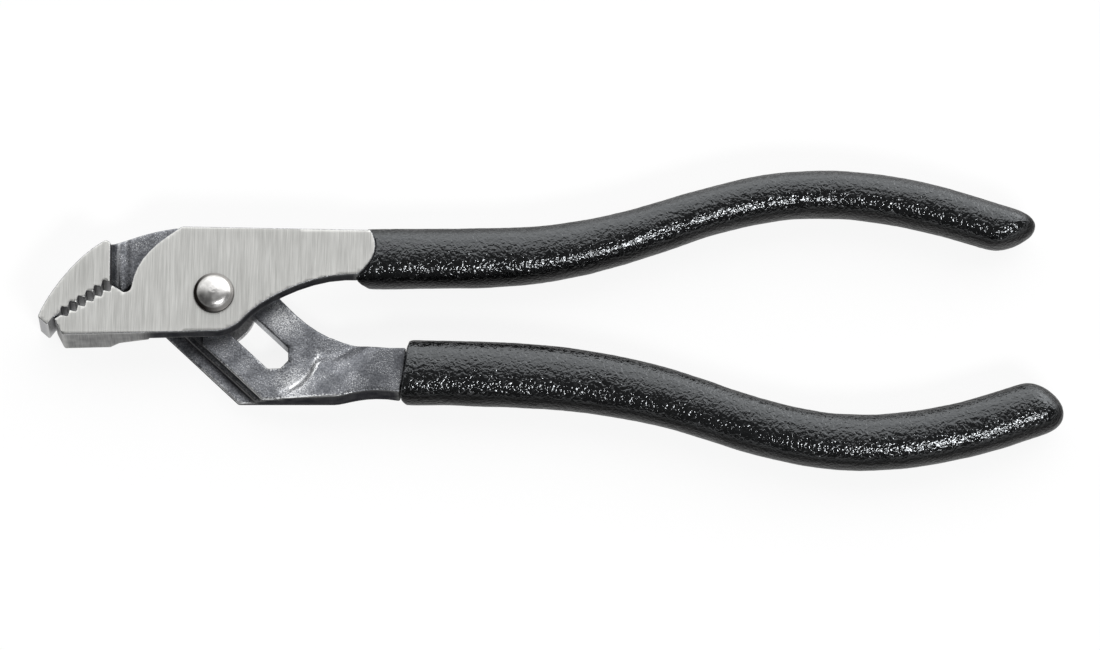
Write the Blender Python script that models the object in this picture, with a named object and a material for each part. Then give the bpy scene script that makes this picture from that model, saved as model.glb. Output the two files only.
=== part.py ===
"""Water pump pliers: two forged halves that slide and turn on one square-necked rivet.

The rivet's axis is +Z through the origin. The tool lies on its back at z = 0, with the jaws
towards -X, the handles towards +X and the ground front face up. Lengths are in metres.
"""
import math

import bmesh
import bpy
from mathutils import Vector

# Joint stack, from the floor up
WASHER_THICK = 0.0012
REAR_PLATE_THICK = 0.0040
FRONT_PLATE_THICK = 0.0041
FACE_GAP = 0.0002           # running gap between the flat faces of the joint
JAW_BACK_STEP = 0.0010      # how far the jaws stand out behind the rear plate

# Rivet and washer
WASHER_RADIUS = 0.0070
SHANK_RADIUS = 0.0020
TAIL_RADIUS = 0.0015
TAIL_FLARE = 0.0010         # growth of the tail's radius at the washer's back
HEAD_RADIUS = 0.0033
HEAD_CROWN_RADIUS = 0.0027
HEAD_WALL = 0.0010          # height of the head's coned side
HEAD_BAND = 0.0003          # straight foot of that side
HEAD_CROWN = 0.0007         # rise of the dome above that side
HEAD_CROWN_START = 25.0     # where the dome's curve meets the coned side, in degrees
PIN_CLEAR = 0.0001          # running gap round the shank, the neck and the tail

# Slot in the rear forging
SLOT_ANGLE = math.radians(-43.5)
SLOT_WIDTH = 0.0049
SLOT_REACH = 0.0161         # from the rivet's axis to the far end wall
SLOT_CORNER = 0.0015        # cut corners of the slot's ends and of the neck
SLIDE_TRAVEL = 0.0110

# Straight steps beside the slot, each given by its distance from the slot's centre line
CONTOUR_EDGE = 0.0097
LEDGE_EDGE = 0.0078
PAD_EDGE = 0.0070
SHELF_DROP = 0.0028         # shelf below the pad
LEDGE_DROP = 0.0010         # ledge below the pad
SHELF_HEAD = 0.0118         # length of the shelf above the rivet, along the slot
LEDGE_HEAD = 0.0100         # the same for the ledge's corner notch
HEEL_RUN = 0.0008           # contour beyond the shelf's head
LEDGE_CORNER = (-0.0019, -0.0056)
STEP_CLEAR = 0.0003

# Bite line of the jaws
BITE_HEEL = (-0.0170, 0.0014)
BITE_ANGLE = math.radians(31.5)
TOOTH_PITCH = 0.00164
TOOTH_COUNT = 6
TOOTH_DEPTH = 0.00075
BITE_LAND = 0.0013          # plain stretch beyond the last tooth
TIP_GAP = 0.0003
HEEL_GAP = 0.0007

# Upper jaw and neck, on the rear forging. Pulls are the length and heading of a curve at its two ends.
NOSE_TIP_STEP = (-0.0010, -0.0013)
NOSE_CORNER_STEP = (-0.0026, 0.0001)
JAW_CROWN = (-0.0181, 0.0092)
JAW_FACE_END = -0.0173      # where the ground jaw face drops to the neck
NECK_FILLET = 0.0038
NECK_TOP = (-0.0065, 0.0124)
NECK_PULLS = ((0.0050, 188.0), (0.0024, 38.0))
CROWN_STEP = 0.0004         # drop of the edge from the jaw's crown to the neck
CROWN_PULLS = ((0.0060, 208.0), (0.0030, 72.0))
JAW_BACK_END = -0.0166
JAW_BACK_RAMP = 0.0018

# Lower jaw, shoulder and throat, on the front forging
LOWER_NOSE_STEP = (0.0014, -0.0027)
ROOT_END = -0.0108          # where the thick jaw root ends under the front plate
UNDERSIDE_FULL_END = -0.0174
UNDERSIDE_KNEE = (-0.0158, 0.0025)
UNDERSIDE_RAMP_END = -0.0100
NOTCH_FLOOR = (-0.0150, 0.0002)
NOTCH_PULLS = ((0.0006, 260.0), (0.0005, 0.0))
SHOULDER_FOOT = (-0.0138, 0.0010)
SHOULDER_TOP = (-0.0054, 0.0115)
SHOULDER_PULLS = ((0.0054, 214.0), (0.0052, 81.0))
FACE_TOP = 0.0109
FACE_END = 0.0267           # end of the ground face on the handle's centre line
HUB_RADIUS = 0.0065
HUB_SPAN = (-91.5, -38.0)   # where the hub's round edge starts and ends, in degrees
HUB_CLEAR = 0.0004
THROAT_END = (0.0218, 0.0032)
THROAT_PULLS = ((0.0030, 50.0), (0.0070, 181.6))
RECESS_FILLET = 0.0014      # hollow round the hub's clearance recess
RECESS_START = -80.0        # where the recess leaves the handle's lower edge, in degrees
RECESS_ROUND = 0.0010       # round on the recess's upper rim, which runs out on the handle root
ROUND_END = 80.0            # slope at which that round runs out, in degrees

# Handle root of the rear forging
ROOT_BOTTOM = -0.0172
ROOT_BOTTOM_BEND = 0.0200
ROOT_BOTTOM_PULLS = ((0.0020, 0.0), (0.0060, 170.0))
ROOT_LENGTH = 0.0318        # from the rivet to the sleeve, on the handle's centre line
ROOT_FOOT = -0.0165         # lower edge of the root at the sleeve
ROOT_WIDTH = 0.0076
ROOT_TOP_PULLS = ((0.0080, 182.0), (0.0060, -44.0))
THROAT_SHOULDER = (0.0136, -0.0026)
HUMP_PULLS = ((0.0080, 136.0), (0.0080, -2.0))
ROOT_SHOULDER = 0.0003      # how far the handle root stands above the tang

# Handles: the forged tangs and the dipped sleeves over them
TANG_THICK = 0.0054
SLEEVE_WALL = 0.0020
SLEEVE_CLEAR = 0.00015
SLEEVE_END_WALL = 0.0030
SLEEVE_GAP = 0.0003         # gap between a sleeve's mouth and the forging
UPPER_SLANT = math.radians(14.0)   # lean of the sleeve's mouth
LOWER_SLANT = math.radians(7.0)
UPPER_MOUTH_RADIUS = 0.0042        # bend of the sleeve's mouth in plan
LOWER_MOUTH_RADIUS = 0.0200
MOUTH_REACH = 0.0040        # the mouth runs straight across beyond this distance from the centre line
MOUTH_RUN = 0.0090          # length over which the mouth's lean and bend fade out
UPPER_END_SLANT = math.radians(33.0)    # lean of the handle's end, longer on its outer side
LOWER_END_SLANT = math.radians(-17.0)
END_RUN = 0.0120
DOME_LENGTH = 0.0048
DOME_POWER = 2.4            # roundness of the sleeve's end
DOME_TIP = 0.2              # blunt last section of the dome, as a share of the full one
TANG_POWER = 3.0            # roundness of the sections: 2 is an ellipse
SLEEVE_POWER = 2.5
UPPER_TANG_WIDTHS = (0.0057, 0.0034)
LOWER_TANG_WIDTHS = (0.0065, 0.0049)
TAPER_SPAN = (0.20, 0.58)   # stretch of the handle over which the width falls
UPPER_FLARE_END = 0.0240    # where the upper tang reaches its full thickness

# Handle centre lines: share of the handle's reach in x, then y and the heading in degrees at each bend
UPPER_REACH = 0.1356
LOWER_REACH = 0.1403
UPPER_BENDS = ((0.0987, 0.0072, 0.0), (0.351, 0.0074, 1.5), (0.557, 0.0131, 19.5),
               (0.7455, 0.0184, 0.0), (1.0, 0.0108, -20.0))
LOWER_BENDS = ((0.1566, -0.0123, -1.0), (0.370, -0.0130, -3.5), (0.5835, -0.0189, -20.0),
               (0.7685, -0.0245, 0.0), (1.0, -0.0171, 22.0))

# Plain colours of the CAD pieces
DARK_STEEL = (0.16, 0.165, 0.175)
GROUND_STEEL = (0.62, 0.63, 0.60)
RIVET_STEEL = (0.75, 0.75, 0.74)
WASHER_STEEL = (0.30, 0.30, 0.31)
BLACK_VINYL = (0.012, 0.012, 0.013)

# Facet counts
ROUND_STEPS = 40
CURVE_STEPS = 8
NOTCH_STEPS = 4
LINE_STEPS = 24
FILLET_STEPS = 5
RING_POINTS = 20
HANDLE_RINGS = 28
DOME_RINGS = 5
BEYOND = 0.05               # reach of a cutter past the part
TOUCH = 1e-6                # points nearer than this are one point

# Heights worked out from the stack
Z_REAR_BACK = WASHER_THICK + FACE_GAP
Z_PAD = Z_REAR_BACK + REAR_PLATE_THICK
Z_PLATE = Z_PAD + FACE_GAP
Z_FACE = Z_PLATE + FRONT_PLATE_THICK
Z_JAW_BACK = Z_REAR_BACK - JAW_BACK_STEP
Z_HANDLE = TANG_THICK / 2 + SLEEVE_CLEAR + SLEEVE_WALL
Z_ROOT = Z_HANDLE + TANG_THICK / 2 + ROOT_SHOULDER

# Directions in plan
ALONG_SLOT = Vector((math.cos(SLOT_ANGLE), math.sin(SLOT_ANGLE)))
OFF_SLOT = Vector((math.sin(SLOT_ANGLE), -math.cos(SLOT_ANGLE)))
ALONG_BITE = Vector((-math.cos(BITE_ANGLE), -math.sin(BITE_ANGLE)))
ACROSS_BITE = Vector((-math.sin(BITE_ANGLE), math.cos(BITE_ANGLE)))


def heading(degrees):
    """Unit vector in plan at an angle from +X."""
    angle = math.radians(degrees)
    return Vector((math.cos(angle), math.sin(angle)))


def arc(centre, radius, start, end, steps):
    """Points on a circle in plan, from one angle in degrees to another."""
    angles = [start + (end - start) * i / steps for i in range(steps + 1)]
    return [Vector(centre) + radius * heading(a) for a in angles]


def curve(start, pulls, end, steps=CURVE_STEPS):
    """Points on a cubic curve, given by its ends and by the length and heading of the pull at each."""
    a, d = Vector(start), Vector(end)
    b = a + pulls[0][0] * heading(pulls[0][1])
    c = d + pulls[1][0] * heading(pulls[1][1])
    points = []
    for i in range(steps + 1):
        t = i / steps
        s = 1 - t
        points.append(s ** 3 * a + 3 * s * s * t * b + 3 * s * t * t * c + t ** 3 * d)
    return points


def slot_point(along, off):
    """A plan point given along the slot from the rivet and off its centre line."""
    return along * ALONG_SLOT + off * OFF_SLOT


def new_object(name, bm):
    """Turn a bmesh into an object of the scene, with its faces outward."""
    bmesh.ops.remove_doubles(bm, verts=bm.verts, dist=TOUCH)
    bmesh.ops.recalc_face_normals(bm, faces=bm.faces)
    mesh = bpy.data.meshes.new(name)
    bm.to_mesh(mesh)
    bm.free()
    made = bpy.data.objects.new(name, mesh)
    bpy.context.scene.collection.objects.link(made)
    return made


def prism_mesh(corners, depth):
    """A bmesh prism on a closed outline of 3-D corners, pushed along a depth vector."""
    bm = bmesh.new()
    base = bm.faces.new([bm.verts.new(c) for c in corners])
    pushed = bmesh.ops.extrude_face_region(bm, geom=[base])
    moved = [v for v in pushed["geom"] if isinstance(v, bmesh.types.BMVert)]
    bmesh.ops.translate(bm, verts=moved, vec=depth)
    return bm


def flat_prism(name, outline, low, high):
    """A prism on a plan outline, between two heights."""
    corners = [(p[0], p[1], low) for p in outline]
    return new_object(name, prism_mesh(corners, (0, 0, high - low)))


def side_prism(name, profile):
    """A prism on an (x, z) profile, running across the whole part along Y."""
    corners = [(p[0], -BEYOND, p[1]) for p in profile]
    return new_object(name, prism_mesh(corners, (0, 2 * BEYOND, 0)))


def slot_prism(name, profile, start, end):
    """A prism on an (off slot, z) profile, running along the slot between two stations."""
    corners = [(*slot_point(start, off), z) for off, z in profile]
    depth = (*((end - start) * ALONG_SLOT), 0)
    return new_object(name, prism_mesh(corners, depth))


def loft(name, rings):
    """A closed solid through rings of equally many points, capped at both ends."""
    bm = bmesh.new()
    loops = [[bm.verts.new(p) for p in ring] for ring in rings]
    for near, far in zip(loops, loops[1:]):
        for i in range(len(near)):
            bm.faces.new((near[i - 1], near[i], far[i], far[i - 1]))
    for cap in (loops[0], loops[-1]):
        bm.faces.new(cap)
    return new_object(name, bm)


def lathe(name, profile):
    """A solid turned about the Z axis from an (r, z) profile."""
    bm = bmesh.new()
    verts = [bm.verts.new((r, 0, z)) for r, z in profile]
    edges = [bm.edges.new((v, verts[i - 1])) for i, v in enumerate(verts)]
    bmesh.ops.spin(bm, geom=verts + edges, axis=(0, 0, 1), cent=(0, 0, 0),
                   angle=math.tau, steps=ROUND_STEPS, use_merge=True)
    return new_object(name, bm)


def combine(target, tool, operation):
    """Join, cut or trim an object with another, which then only guides the shape."""
    modifier = target.modifiers.new(tool.name, "BOOLEAN")
    modifier.operation = operation
    modifier.solver = "EXACT"
    modifier.object = tool
    tool.hide_render = True
    tool.display_type = "WIRE"


def bite_points(upper):
    """Tooth line of one jaw from the heel to the end of its plain land."""
    heel = Vector(BITE_HEEL)
    length = TOOTH_COUNT * TOOTH_PITCH + BITE_LAND
    inward = ACROSS_BITE if upper else -ACROSS_BITE
    points = []
    for half in range(2 * TOOTH_COUNT + 1):
        station = half * TOOTH_PITCH / 2
        gap = HEEL_GAP + (TIP_GAP - HEEL_GAP) * station / length if upper else 0.0
        depth = TOOTH_DEPTH if half % 2 else 0.0
        points.append(heel + station * ALONG_BITE + gap * ACROSS_BITE + depth * inward)
    land_gap = TIP_GAP if upper else 0.0
    points.append(heel + length * ALONG_BITE + land_gap * ACROSS_BITE)
    return points


def throat_points():
    """Hollow edge of the front forging from its hub to the upper handle."""
    return curve(HUB_RADIUS * heading(HUB_SPAN[1]), THROAT_PULLS, THROAT_END)


def mouth_lead(off, slant, radius):
    """How far a sleeve's mouth runs ahead of its middle, at a distance off the centre line."""
    off = min(max(off, -MOUTH_REACH), MOUTH_REACH)
    return off * math.tan(slant) - off * off / (2 * radius)


def front_outline():
    """Plan outline of the front forging, up to the sleeve's mouth."""
    bite = bite_points(upper=False)
    nose = bite[-1] + Vector(LOWER_NOSE_STEP)
    outline = bite + [nose]
    outline += arc((0, 0), HUB_RADIUS, *HUB_SPAN, CURVE_STEPS)
    outline += throat_points()[1:]
    for y in even(THROAT_END[1], FACE_TOP, CURVE_STEPS):
        lead = mouth_lead(y - UPPER_BENDS[0][1], UPPER_SLANT, UPPER_MOUTH_RADIUS)
        outline.append(Vector((FACE_END + lead, y)))
    outline += curve(SHOULDER_TOP, SHOULDER_PULLS, SHOULDER_FOOT)
    outline += curve(SHOULDER_FOOT, NOTCH_PULLS, NOTCH_FLOOR, NOTCH_STEPS)[1:]
    return outline


def rear_outline():
    """Plan outline of the rear forging, up to the sleeve's mouth."""
    bite = bite_points(upper=True)
    tip = bite[-1] + Vector(NOSE_TIP_STEP)
    corner = bite[-1] + Vector(NOSE_CORNER_STEP)
    contour_head = slot_point(-SHELF_HEAD - HEEL_RUN, CONTOUR_EDGE)
    contour_foot = contour_head + ALONG_SLOT * (ROOT_BOTTOM - contour_head.y) / ALONG_SLOT.y
    root_end = []
    for y in even(ROOT_FOOT, ROOT_FOOT + ROOT_WIDTH, CURVE_STEPS):
        lead = mouth_lead(y - LOWER_BENDS[0][1], LOWER_SLANT, LOWER_MOUTH_RADIUS)
        root_end.append(Vector((ROOT_LENGTH + lead, y)))
    outline = [contour_head, contour_foot]
    outline += curve((ROOT_BOTTOM_BEND, ROOT_BOTTOM), ROOT_BOTTOM_PULLS, root_end[0])[:-1]
    outline += root_end[:-1]
    outline += curve(root_end[-1], ROOT_TOP_PULLS, THROAT_SHOULDER)
    outline += curve(THROAT_SHOULDER, HUMP_PULLS, NECK_TOP)[1:]
    outline += curve(NECK_TOP, NECK_PULLS, (JAW_FACE_END, JAW_CROWN[1] - CROWN_STEP))[1:]
    outline += curve(JAW_CROWN, CROWN_PULLS, corner)
    outline.append(tip)
    outline += reversed(bite)
    return outline


def recess_wall():
    """Plan line of the hub recess's wall, from the handle's lower edge to its upper edge."""
    centre = (SLOT_REACH - SLOT_WIDTH / 2) * ALONG_SLOT
    radius = HUB_RADIUS + HUB_CLEAR
    passing = SLIDE_TRAVEL + HUB_CLEAR + RECESS_FILLET / 2
    moved = [p + passing * ALONG_SLOT for p in throat_points()]
    inside = max(i for i, p in enumerate(moved) if (p - centre).length < radius)
    throat = moved[inside + 1:]
    near, far = (moved[inside] - centre).length, (throat[0] - centre).length
    leave = moved[inside].lerp(throat[0], (radius - near) / (far - near)) - centre
    last = math.degrees(math.atan2(leave.y, leave.x))
    return arc(centre, radius, RECESS_START, last, 2 * CURVE_STEPS) + throat


def recess_cutter():
    """Cutter for the pad, with a hollow at the neck and a hollow and a round at the hub recess."""
    wall = recess_wall()
    outline = [(JAW_FACE_END, -BEYOND), (wall[0].x, -BEYOND)] + wall
    outline += [(wall[-1].x, BEYOND), (JAW_FACE_END, BEYOND)]
    bm = prism_mesh([(p[0], p[1], Z_PAD) for p in outline], (0, 0, BEYOND))
    bmesh.ops.recalc_face_normals(bm, faces=bm.faces)

    def low_edges(at_neck):
        """Bottom edges of the cutter on the neck's side or on the recess's side."""
        picked = []
        for edge in bm.edges:
            low = all(v.co.z < Z_PAD + TOUCH for v in edge.verts)
            neck = all(v.co.x < JAW_FACE_END + TOUCH for v in edge.verts)
            inner = all(abs(v.co.y) < BEYOND - TOUCH for v in edge.verts)
            if low and (neck if at_neck else inner):
                picked.append(edge)
        return picked

    for at_neck, size in ((False, RECESS_FILLET), (True, NECK_FILLET)):
        bmesh.ops.bevel(bm, geom=low_edges(at_neck), offset=size, offset_type="OFFSET",
                        segments=FILLET_STEPS, profile=0.5, affect="EDGES")
    flare_wall(bm, wall)
    return new_object("pad_cutter", bm)


def flare_wall(bm, wall):
    """Spread the upper part of a cutter's wall outward, so that it leaves a rounded rim."""
    rings = []
    for angle in even(0, ROUND_END, FILLET_STEPS):
        up, out = math.sin(math.radians(angle)), 1 - math.cos(math.radians(angle))
        rings.append((Z_ROOT + RECESS_ROUND * (up - 1), RECESS_ROUND * out))
    height, out = rings[-1]
    rings.append((Z_ROOT + FACE_GAP, out + (Z_ROOT + FACE_GAP - height) * math.tan(math.radians(ROUND_END))))
    for height, out in rings:
        whole = bm.verts[:] + bm.edges[:] + bm.faces[:]
        bmesh.ops.bisect_plane(bm, geom=whole, plane_co=(0, 0, height), plane_no=(0, 0, 1))
    for i, point in enumerate(wall):
        run = wall[min(i + 1, len(wall) - 1)] - wall[max(i - 1, 0)]
        outward = Vector((run.y, -run.x, 0)).normalized()
        for vert in [v for v in bm.verts if (v.co.xy - point).length < TOUCH]:
            vert.co += outward * max((out for height, out in rings if height < vert.co.z + TOUCH), default=0)


def slot_outline(width, start, end, corner):
    """Long hole in plan with cut corners, along the slot between two stations."""
    half = width / 2
    ends = [(start, half - corner), (start + corner, half), (end - corner, half), (end, half - corner),
            (end, corner - half), (end - corner, -half), (start + corner, -half), (start, corner - half)]
    return [slot_point(along, off) for along, off in ends]


class Handle:
    """Centre line and width of one handle, shared by its tang and its sleeve."""

    def __init__(self, reach, bends, widths, slant, mouth_radius, end_slant):
        self.widths = widths
        self.slant = slant
        self.mouth_radius = mouth_radius
        self.end_slant = end_slant
        self.points = []
        line = [(share * reach, y, turn) for share, y, turn in bends]
        for near, far in zip(line, line[1:]):
            third = (Vector(far[:2]) - Vector(near[:2])).length / 3
            pulls = ((third, near[2]), (-third, far[2]))
            stretch = curve(near[:2], pulls, far[:2], LINE_STEPS)
            self.points += stretch[1:] if self.points else stretch
        self.stations = [0.0]
        for near, far in zip(self.points, self.points[1:]):
            self.stations.append(self.stations[-1] + (far - near).length)
        self.length = self.stations[-1]

    def station_at(self, x):
        """Length along the centre line at which it passes a given x."""
        for i, point in enumerate(self.points[1:]):
            if point.x >= x:
                run = (x - self.points[i].x) / (point.x - self.points[i].x)
                return self.stations[i] + run * (self.stations[i + 1] - self.stations[i])
        return self.length

    def at(self, station):
        """Point and direction of the centre line at a station."""
        last = len(self.points) - 2
        i = min(max(sum(s <= station for s in self.stations) - 1, 0), last)
        step = self.points[i + 1] - self.points[i]
        run = (station - self.stations[i]) / (self.stations[i + 1] - self.stations[i])
        return self.points[i] + run * step, step.normalized()

    def half_width(self, station):
        """Half width of the tang, easing from the first width to the second."""
        t = (station / self.length - TAPER_SPAN[0]) / (TAPER_SPAN[1] - TAPER_SPAN[0])
        t = min(max(t, 0.0), 1.0)
        ease = t * t * (3 - 2 * t)
        return (self.widths[0] + (self.widths[1] - self.widths[0]) * ease) / 2

    def ring(self, station, half_wide, half_thick, height, power, mouth=None):
        """Rounded section across the handle, bent near the sleeve's mouth and leaned over near the end."""
        near_mouth = max(0.0, 1 - (station - mouth) / MOUTH_RUN) if mouth else 0.0
        near_end = max(0.0, 1 - (self.length - station) / END_RUN)
        centre, ahead = self.at(station)
        left = Vector((-ahead.y, ahead.x))
        ring = []
        for i in range(RING_POINTS):
            angle = math.tau * i / RING_POINTS
            c, s = math.cos(angle), math.sin(angle)
            wide = half_wide * math.copysign(abs(c) ** (2 / power), c)
            thick = half_thick * math.copysign(abs(s) ** (2 / power), s)
            lead = near_mouth * mouth_lead(wide, self.slant, self.mouth_radius)
            lead += near_end * wide * math.tan(self.end_slant)
            spot = centre + wide * left + lead * ahead
            ring.append((spot.x, spot.y, height + thick))
        return ring


def even(start, end, count):
    """Evenly spaced numbers from start to end."""
    return [start + (end - start) * i / count for i in range(count + 1)]


def tang(name, handle, start_x, flare_x=None):
    """Forged tang of a handle. A flared one grows out of the front plate."""
    start = handle.station_at(start_x)
    end = handle.length - SLEEVE_END_WALL
    flare = handle.station_at(flare_x) if flare_x else start
    stations = even(start, flare, CURVE_STEPS)[:-1] if flare_x else []
    rings = []
    for station in stations + even(flare, end, HANDLE_RINGS):
        grown = min((station - start) / (flare - start), 1.0) if flare_x else 1.0
        ease = grown * grown * (3 - 2 * grown)
        low = (Z_PLATE + FACE_GAP) * (1 - ease) + (Z_HANDLE - TANG_THICK / 2) * ease
        high = Z_HANDLE + TANG_THICK / 2
        half = handle.half_width(station)
        rings.append(handle.ring(station, half, (high - low) / 2, (high + low) / 2, TANG_POWER))
    return loft(name, rings)


def sleeve(name, handle, mouth_x):
    """Dipped sleeve: its outside from the domed end to the mouth, then the bore back in."""
    mouth = handle.station_at(mouth_x)
    dome = handle.length - DOME_LENGTH
    bore_end = handle.length - SLEEVE_END_WALL + SLEEVE_CLEAR
    outer = even(mouth, dome, HANDLE_RINGS)
    for i in range(1, DOME_RINGS + 1):
        outer.append(dome + DOME_LENGTH * math.sin(math.pi / 2 * i / DOME_RINGS))

    def shrink(station):
        """Scale of a section in the dome at the end."""
        t = max(0.0, (station - dome) / DOME_LENGTH)
        return max(DOME_TIP, (1 - t ** DOME_POWER) ** (1 / DOME_POWER))

    rings = []
    for station in reversed(outer):
        grow = SLEEVE_CLEAR + SLEEVE_WALL
        scale = shrink(station)
        wide = (handle.half_width(station) + grow) * scale
        thick = (TANG_THICK / 2 + grow) * scale
        rings.append(handle.ring(station, wide, thick, Z_HANDLE, SLEEVE_POWER, mouth))
    for station in even(mouth, bore_end, HANDLE_RINGS):
        wide = handle.half_width(station) + SLEEVE_CLEAR
        thick = TANG_THICK / 2 + SLEEVE_CLEAR
        rings.append(handle.ring(station, wide, thick, Z_HANDLE, TANG_POWER, mouth))
    return loft(name, rings)


def make_front_forging(handle):
    """Upper handle, pivot hole and lower jaw in one forging."""
    forging = flat_prism("front_forging", front_outline(), -BEYOND, BEYOND)
    knee = (UNDERSIDE_KNEE[0], Z_JAW_BACK + UNDERSIDE_KNEE[1])
    ramp_top = Z_PLATE - 2 * FACE_GAP
    profile = [(-BEYOND, Z_JAW_BACK), (UNDERSIDE_FULL_END, Z_JAW_BACK), knee,
               (UNDERSIDE_RAMP_END, ramp_top), (BEYOND, ramp_top), (BEYOND, Z_FACE), (-BEYOND, Z_FACE)]
    combine(forging, side_prism("front_profile", profile), "INTERSECT")

    ledge_off = LEDGE_EDGE + STEP_CLEAR
    ledge_turn = (ROOT_END - ledge_off * OFF_SLOT.x) / ALONG_SLOT.x
    turn = slot_point(ledge_turn, ledge_off)
    relief = [turn, (ROOT_END, -BEYOND), (BEYOND, -BEYOND), (BEYOND, BEYOND), slot_point(-BEYOND, ledge_off)]
    combine(forging, flat_prism("plate_relief", relief, -BEYOND, Z_PLATE), "DIFFERENCE")

    shelf_off = CONTOUR_EDGE + STEP_CLEAR
    shelf_top = Z_PAD - SHELF_DROP + FACE_GAP
    step = [(0, -BEYOND), (shelf_off, -BEYOND), (shelf_off, shelf_top), (0, shelf_top)]
    combine(forging, slot_prism("shelf_relief", step, -BEYOND, BEYOND), "DIFFERENCE")

    start = UPPER_BENDS[0][0] * UPPER_REACH
    combine(forging, tang("upper_tang", handle, start, UPPER_FLARE_END), "UNION")
    hole = arc((0, 0), SHANK_RADIUS + PIN_CLEAR, 0, 360, ROUND_STEPS)[:-1]
    combine(forging, flat_prism("pivot_hole", hole, -BEYOND, BEYOND), "DIFFERENCE")
    return forging


def make_rear_forging(handle):
    """Lower handle, slotted plate and upper jaw in one forging."""
    forging = flat_prism("rear_forging", rear_outline(), -BEYOND, BEYOND)
    ramp_end = JAW_BACK_END + JAW_BACK_RAMP
    profile = [(-BEYOND, Z_JAW_BACK), (JAW_BACK_END, Z_JAW_BACK), (ramp_end, Z_REAR_BACK),
               (BEYOND, Z_REAR_BACK), (BEYOND, Z_ROOT), (0, Z_ROOT), (0, Z_FACE), (-BEYOND, Z_FACE)]
    combine(forging, side_prism("rear_profile", profile), "INTERSECT")
    combine(forging, recess_cutter(), "DIFFERENCE")

    shelf, ledge = Z_PAD - SHELF_DROP, Z_PAD - LEDGE_DROP
    steps = [(PAD_EDGE, BEYOND), (PAD_EDGE, ledge), (LEDGE_EDGE, ledge), (LEDGE_EDGE, shelf),
             (BEYOND, shelf), (BEYOND, BEYOND)]
    combine(forging, slot_prism("step_cutter", steps, -SHELF_HEAD, BEYOND), "DIFFERENCE")

    corner = Vector(LEDGE_CORNER)
    off = corner.dot(OFF_SLOT)
    past_edge = PAD_EDGE + STEP_CLEAR
    drop = (past_edge - off) / OFF_SLOT.y
    notch = [corner, corner + Vector((0, drop))]
    notch += [slot_point(-LEDGE_HEAD, past_edge), slot_point(-LEDGE_HEAD, off)]
    combine(forging, flat_prism("ledge_cutter", notch, ledge + FACE_GAP, BEYOND), "DIFFERENCE")

    start = -(SLOT_WIDTH / 2 + PIN_CLEAR)
    slot = slot_outline(SLOT_WIDTH, start, SLOT_REACH, SLOT_CORNER)
    combine(forging, flat_prism("slot_cutter", slot, -BEYOND, BEYOND), "DIFFERENCE")
    combine(forging, tang("lower_tang", handle, LOWER_BENDS[0][0] * LOWER_REACH), "UNION")
    return forging


def make_rivet():
    """Domed head, round shank, square neck with cut corners, and a tail set into the washer."""
    seat = Z_FACE + FACE_GAP
    rim = seat + HEAD_WALL
    flare = TAIL_RADIUS + TAIL_FLARE
    profile = [(0, rim + HEAD_CROWN)]
    for angle in even(90, HEAD_CROWN_START, CURVE_STEPS)[1:]:
        lift = math.sin(math.radians(angle))
        profile.append((HEAD_CROWN_RADIUS * math.cos(math.radians(angle)), rim + HEAD_CROWN * lift))
    profile += [(HEAD_RADIUS, seat + HEAD_BAND), (HEAD_RADIUS, seat), (SHANK_RADIUS, seat)]
    profile += [(SHANK_RADIUS, Z_PAD), (TAIL_RADIUS, Z_PAD), (TAIL_RADIUS, WASHER_THICK / 2)]
    profile += [(flare, 0), (0, 0)]
    rivet = lathe("rivet", profile)
    side = SLOT_WIDTH - 2 * PIN_CLEAR
    neck = slot_outline(side, -side / 2, side / 2, SLOT_CORNER)
    combine(rivet, flat_prism("rivet_neck", neck, Z_REAR_BACK, Z_PAD + FACE_GAP / 2), "UNION")
    return rivet


def make_washer():
    """Round washer behind the slot, countersunk for the rivet's tail."""
    bore = TAIL_RADIUS + PIN_CLEAR
    flare = bore + TAIL_FLARE
    profile = [(WASHER_RADIUS, WASHER_THICK), (WASHER_RADIUS, 0), (flare, 0),
               (bore, WASHER_THICK / 2), (bore, WASHER_THICK)]
    return lathe("back_washer", profile)


def finish(part, colour, roughness, metallic, smooth_degrees, parent):
    """Give a piece its material, its shading and the frame that it moves with."""
    material = bpy.data.materials.new(part.name + "_finish")
    material.use_nodes = True
    shader = material.node_tree.nodes["Principled BSDF"]
    shader.inputs["Base Color"].default_value = (*colour, 1.0)
    shader.inputs["Roughness"].default_value = roughness
    shader.inputs["Metallic"].default_value = metallic
    part.data.materials.append(material)
    part.data.shade_smooth()
    part.data.set_sharp_from_angle(angle=math.radians(smooth_degrees))
    part.parent = parent


def moving_frame(name, parent=None):
    """Empty on the rivet's axis that carries one moving body."""
    frame = bpy.data.objects.new(name, None)
    bpy.context.scene.collection.objects.link(frame)
    frame.parent = parent
    return frame


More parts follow.
